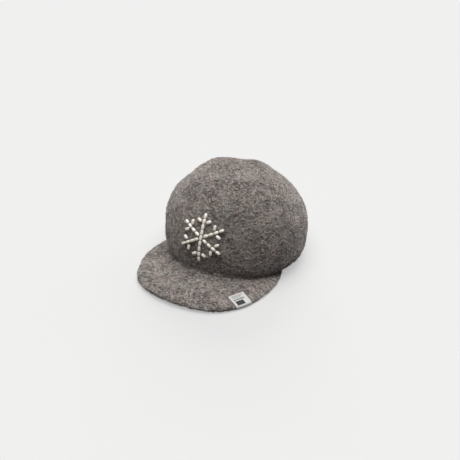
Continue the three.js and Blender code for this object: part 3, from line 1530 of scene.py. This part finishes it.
@dataclass
class SnowCrystal:
    """Small barrel beads, sewn through their holes to the front of the crown as a snow crystal."""

    end_radius: float = 0.8 * MM
    hole_radius: float = 0.38 * MM
    fullness: float = 0.65
    steps_around: int = 20
    steps_along: int = 22
    thread_radius: float = 0.24 * MM
    thread_sides: int = 8
    thread_reach: float = 0.35 * MM  # past the bead's ends
    thread_depth: float = 1.2 * MM  # below the bead, into the wool
    smallest: float = 0.98
    largest: float = 1.04
    seed: int = 5

    def seats(self, wall: Object) -> tuple[Object, float, float]:
        """Reads where each bead sits from its solid. The beads are alike, so any one gives the size.

        Args:
            wall: the wool that the beads are sewn to.

        Returns:
            An object with a marked point for each bead, and a bead's length and radius.
        """
        surface = surface_of(wall)
        middles, alongs, outs = [], [], []
        for node in self.nodes():
            corners = np.array([v.co[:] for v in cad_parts[node].data.vertices])
            middle = corners.mean(axis=0)
            _, axes = np.linalg.eigh(np.cov((corners - middle).T))
            along = Vector(axes[:, -1])
            place = Vector(middle)
            nearest = surface.find_nearest(place)[0]
            middles.append(place)
            alongs.append(along if along.z > 0 else -along)
            outs.append((place - nearest).normalized())
            reach = (corners - middle) @ axes
            length, radius = 2 * reach[:, -1].max(), reach[:, 0].max()
        mesh = bpy.data.meshes.new("bead_seats")
        mesh.from_pydata(middles, [], [])
        for name, vectors in ((ALONG, alongs), (OUT, outs)):
            marks = mesh.attributes.new(name, "FLOAT_VECTOR", "POINT")
            for mark, vector in zip(marks.data, vectors):
                mark.vector = vector
        return new_object("bead_seats", mesh), length, radius

    def nodes(self) -> list[str]:
        """The names of the bead solids."""
        return sorted(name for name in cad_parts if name.startswith("bead_"))

    def bead(self, length: float, radius: float) -> Object:
        """Makes a drilled barrel bead along X, closed through its hole.

        Args:
            length: the bead's length.
            radius: its radius at its middle.

        Returns:
            The bead.
        """
        shape = bmesh.new()
        loops = []
        for turn in ring_angles(self.steps_along):
            if cos(turn) > 0:
                out = self.end_radius + (radius - self.end_radius) * cos(turn) ** self.fullness
            else:
                out = self.end_radius + (self.end_radius - self.hole_radius) * cos(turn)
            place = length / 2 * sin(turn)
            loops.append(
                [
                    shape.verts.new((place, out * cos(angle), out * sin(angle)))
                    for angle in ring_angles(self.steps_around)
                ]
            )
        weave_loops(shape, loops, closed=True)
        return new_object("bead_pattern", shape)

    def stitch(self, length: float, radius: float) -> Object:
        """Makes the thread of a bead along X, through its hole and into the wool at both ends.

        Args:
            length: the bead's length.
            radius: its radius at its middle.

        Returns:
            The thread.
        """
        end = -length / 2
        path = [  # out of the wool, up beside the bead's end and into its hole
            Vector((end - self.thread_reach, 0, -radius - self.thread_depth)),
            Vector((end - 0.8 * self.thread_reach, 0, -0.5 * radius)),
            Vector((end, 0, -0.05 * radius)),
        ]
        path += [Vector((-p.x, p.y, p.z)) for p in reversed(path)]
        shape = bmesh.new()
        loops = []
        for i, point in enumerate(path):
            ahead = path[min(i + 1, len(path) - 1)] - path[max(i - 1, 0)]
            turn = ahead.to_track_quat("X", "Z")
            loops.append(
                [
                    shape.verts.new(
                        point + turn @ Vector((0, cos(angle), sin(angle))) * self.thread_radius
                    )
                    for angle in ring_angles(self.thread_sides)
                ]
            )
        weave_loops(shape, loops, closed=False)
        return new_object("stitch_pattern", shape)

    def build(self, wall: Object) -> Object:
        """Sews the beads on.

        Args:
            wall: the crown's smooth form.

        Returns:
            The beads.
        """
        tree = sewn_row_tree()
        beads, length, radius = self.seats(wall)
        threads = new_object("bead_threads", beads.data.copy())
        beads.name = "snow_crystal_beads"
        for piece, pattern, finish in (
            (beads, self.bead(length, radius), LacqueredBead()),
            (threads, self.stitch(length, radius), SewingThread()),
        ):
            run_tree(
                piece,
                tree,
                {
                    "Pattern": pattern,
                    "Smallest": self.smallest,
                    "Largest": self.largest,
                    "Seed": self.seed,
                    "Material": finish.make(),
                },
            )
            bpy.data.objects.remove(pattern)
        hand_over(beads, Finish.PEARL, *self.nodes())
        hand_over(threads, Finish.RIBBON)
        return beads


@dataclass
class RibbonLabel:
    """A white ribbon folded square over the peak's edge, with a plain print on its upper half."""

    lift: float = 0.7 * MM
    thickness: float = 0.4 * MM
    steps_across: int = 24
    steps_along: int = 70
    step: float = 0.7 * MM
    cast_from: float = 50 * MM  # above and below the peak
    thinnest: float = 3.2 * MM  # of the peak, where its round edge begins

    def build(self, peak: Object) -> Object:
        """Folds the ribbon over the peak.

        Args:
            peak: the peak's smooth form.

        Returns:
            The ribbon.
        """
        middle, sideways, inwards = self.footprint()
        width, fold = 2 * sideways.length, 2 * inwards.length
        surface = surface_of(peak)
        shape = bmesh.new()
        marks = shape.verts.layers.float_vector.new(RIBBON_PLACE)
        rows, lengths = [], []
        for i in range(self.steps_across + 1):
            share = i / self.steps_across - 0.5
            line, length = even_steps(
                self.line(surface, middle + sideways * 2 * share, inwards), self.steps_along
            )
            rows.append([shape.verts.new(point) for point in line])
            lengths.append(length)
            for j, vertex in enumerate(rows[-1]):
                vertex[marks] = (share * width / MM, length * j / self.steps_along / MM, 0)
        length = sum(lengths) / len(lengths)
        for left, right in zip(rows, rows[1:]):
            for j in range(self.steps_along):
                shape.faces.new((left[j], left[j + 1], right[j + 1], right[j]))
        for face in shape.faces:
            face.smooth = True
        label = new_object("ribbon_label", shape)
        wall = label.modifiers.new("thickness", "SOLIDIFY")
        wall.thickness = self.thickness
        wall.offset = 0
        keep_result(label)
        label.data.materials.append(PrintedRibbon().make())
        hand_over(label, Finish.RIBBON, "label")
        log.info("ribbon: %.1f by %.1f mm, fold %.1f mm", width / MM, length / MM, fold / MM)
        return label

    def footprint(self) -> tuple[Vector, Vector, Vector]:
        """The tightest upright rectangle round the label's solid.

        Returns:
            Its middle, half of its side along the peak's edge, and half of its side towards the crown.
        """
        corners = [v.co.copy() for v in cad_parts["label"].data.vertices]
        fits = []
        for degree in range(90):
            turn = Matrix.Rotation(radians(degree), 3, "Z")
            turned = np.array([(turn @ corner)[:] for corner in corners])
            low, high = turned.min(axis=0), turned.max(axis=0)
            fits.append(((high - low)[0] * (high - low)[1], degree, Vector(low), Vector(high)))
        _, degree, low, high = min(fits, key=lambda fit: fit[0])
        back = Matrix.Rotation(radians(-degree), 3, "Z")
        middle = back @ ((low + high) / 2)
        sides = [back @ Vector(((high - low).x / 2, 0, 0)), back @ Vector((0, (high - low).y / 2, 0))]
        sideways, inwards = sorted(sides, key=lambda side: -side.length)
        crown_low, crown_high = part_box("crown")
        to_crown = (crown_low + crown_high) / 2 - middle
        if inwards.dot(to_crown) < 0:
            inwards = -inwards
        return middle, sideways, inwards

    def line(self, surface: BVHTree, across: Vector, inwards: Vector) -> list[Vector]:
        """One line of the ribbon, from its upper end over the edge to its lower end.

        Args:
            surface: the peak's smooth form.
            across: the middle of the line's stretch, seen from above.
            inwards: half of the fold's depth, towards the crown.

        Returns:
            Its points, the ribbon's lift away from the peak.
        """
        far = UP * self.cast_from
        steps = round(2 * inwards.length / self.step)
        above, below = [], []
        for i in range(steps):
            place = across + inwards * (1 - 2 * i / steps)
            top = surface.ray_cast(place + far, -UP)[0]
            bottom = surface.ray_cast(place - far, UP)[0]
            if top is None or bottom is None or (top - bottom).length < self.thinnest:
                break
            above.append(top)
            below.insert(0, bottom)
        edge_top, edge_bottom = above[-1], below[0]
        centre = (edge_top + edge_bottom) / 2
        reach = (edge_top - edge_bottom).length / 2
        out = -inwards.normalized()
        turns = round(pi * reach / self.step)
        round_edge = [
            centre + out * (reach * sin(pi * k / turns)) + UP * (reach * cos(pi * k / turns))
            for k in range(1, turns)
        ]
        line = []
        for point in [*above, *round_edge, *below]:
            nearest, normal = surface.find_nearest(point)[:2]
            line.append(nearest + normal * self.lift)
        return line


# Studio


@dataclass(frozen=True)
class Viewpoint:
    """Where the photograph was taken from: round the cap, above it, and how far the camera leant.

    Angles are degrees, and the lens axis is given in the photograph's pixels.
    """

    azimuth: float = 29.8
    elevation: float = 30.37
    roll: float = 1.93
    distance: float = 1.503
    focal_pixels: float = 1043.2
    centre_right: float = 3.61  # from the picture's middle to the lens axis
    centre_down: float = 19.0
    over_table: float = 5.8 * MM
    forward: float = 20.6 * MM  # from the cap's middle back to the middle of its crown
    sensor_mm: float = 36.0
    nearest: float = 0.05
    farthest: float = 50.0

    def back(self) -> Vector:
        """The direction from the cap to the camera."""
        around, up = radians(self.azimuth), radians(self.elevation)
        return Vector((sin(around) * cos(up), -cos(around) * cos(up), sin(up)))

    def make(self) -> None:
        """Makes the scene's camera."""
        back = self.back()
        level = Vector((cos(radians(self.azimuth)), sin(radians(self.azimuth)), 0))
        upright = back.cross(level)
        roll = radians(self.roll)
        right = level * cos(roll) + upright * sin(roll)
        top = upright * cos(roll) - level * sin(roll)
        lens = bpy.data.cameras.new("camera")
        lens.sensor_width = self.sensor_mm
        lens.lens = lens.sensor_width * self.focal_pixels / PHOTO_PIXELS
        lens.shift_x = -self.centre_right / PHOTO_PIXELS
        lens.shift_y = self.centre_down / PHOTO_PIXELS
        lens.clip_start = self.nearest
        lens.clip_end = self.farthest
        camera = bpy.data.objects.new("camera", lens)
        place = Vector((0, self.forward, self.over_table)) + back * self.distance
        turn = Matrix((right, top, back)).transposed().to_4x4()
        camera.matrix_world = Matrix.Translation(place) @ turn
        bpy.context.scene.collection.objects.link(camera)
        bpy.context.scene.camera = camera


@dataclass(frozen=True)
class SoftLight:
    """A broad, even light from far away."""

    name: str
    behind: float  # how far the light leans away from the camera, in shares of its height
    aside: float  # how far it leans to the camera's right
    watts: float
    spread: float  # degrees

    def make(self, away: Vector) -> None:
        """Makes the lamp.

        Args:
            away: the level direction away from the camera.
        """
        lamp = bpy.data.lights.new(self.name, "SUN")
        lamp.energy = self.watts
        lamp.angle = radians(self.spread)
        light = bpy.data.objects.new(self.name, lamp)
        side = away.cross(UP)
        turn = (away * self.behind + side * self.aside + UP).to_track_quat("Z", "Y")
        light.matrix_world = turn.to_matrix().to_4x4()
        bpy.context.scene.collection.objects.link(light)


@dataclass
class Studio:
    """A pale paper floor under broad soft lights, above the cap and a little behind it."""

    floor_radius: float = 8.0
    floor_sides: int = 96
    surround: float = 0.87
    fill: float = 0.1
    lights: tuple[SoftLight, ...] = (
        SoftLight("overhead", behind=0.0, aside=0.0, watts=2.45, spread=60.0),
        SoftLight("low_behind", behind=2.8, aside=0.0, watts=2.0, spread=40.0),
        SoftLight("behind_right", behind=1.2, aside=0.9, watts=0.8, spread=50.0),
    )
    view: Viewpoint = Viewpoint()

    def build(self) -> None:
        """Makes the floor, the lights and the camera."""
        shape = bmesh.new()
        bmesh.ops.create_circle(
            shape, cap_ends=True, segments=self.floor_sides, radius=self.floor_radius
        )
        floor = new_object("floor", shape)
        floor.data.materials.append(StudioPaper().make())
        floor.visible_diffuse = False  # the photograph's low parts get no light from the floor
        away = -self.view.back()
        away.z = 0
        for light in self.lights:
            light.make(away.normalized())
        self.surround_with_paper()
        bpy.context.scene.view_settings.view_transform = "Standard"
        self.view.make()

    def surround_with_paper(self) -> None:
        """Makes the world: as pale as the floor to look at or in a shine, and a weak fill as a light."""
        world = bpy.data.worlds.new("studio")
        world.use_nodes = True
        tree = world.node_tree
        tree.nodes.clear()
        paths = add_node(tree, "ShaderNodeLightPath").outputs
        seen = add_node(
            tree,
            "ShaderNodeMath",
            {0: paths["Is Camera Ray"], 1: paths["Is Glossy Ray"]},
            operation="MAXIMUM",
        ).outputs["Value"]
        strength = add_node(
            tree, "ShaderNodeMapRange", {"Value": seen, "To Min": self.fill, "To Max": self.surround}
        ).outputs["Result"]
        background = add_node(
            tree, "ShaderNodeBackground", {"Color": linear(WHITE), "Strength": strength}
        ).outputs["Background"]
        add_node(tree, "ShaderNodeOutputWorld", {"Surface": background})
        bpy.context.scene.world = world


def main() -> None:
    """Builds the cap's pieces in order, then the studio."""
    logging.basicConfig(level=logging.INFO, format="%(message)s")
    Studio().build()
    wool = WoolWork()
    for form, trimming in ((Crown(wool), SnowCrystal()), (Peak(wool), RibbonLabel())):
        body = form.build_smooth()
        form.finish(body, trimming.build(body))


if __name__ == "__main__":
    main()
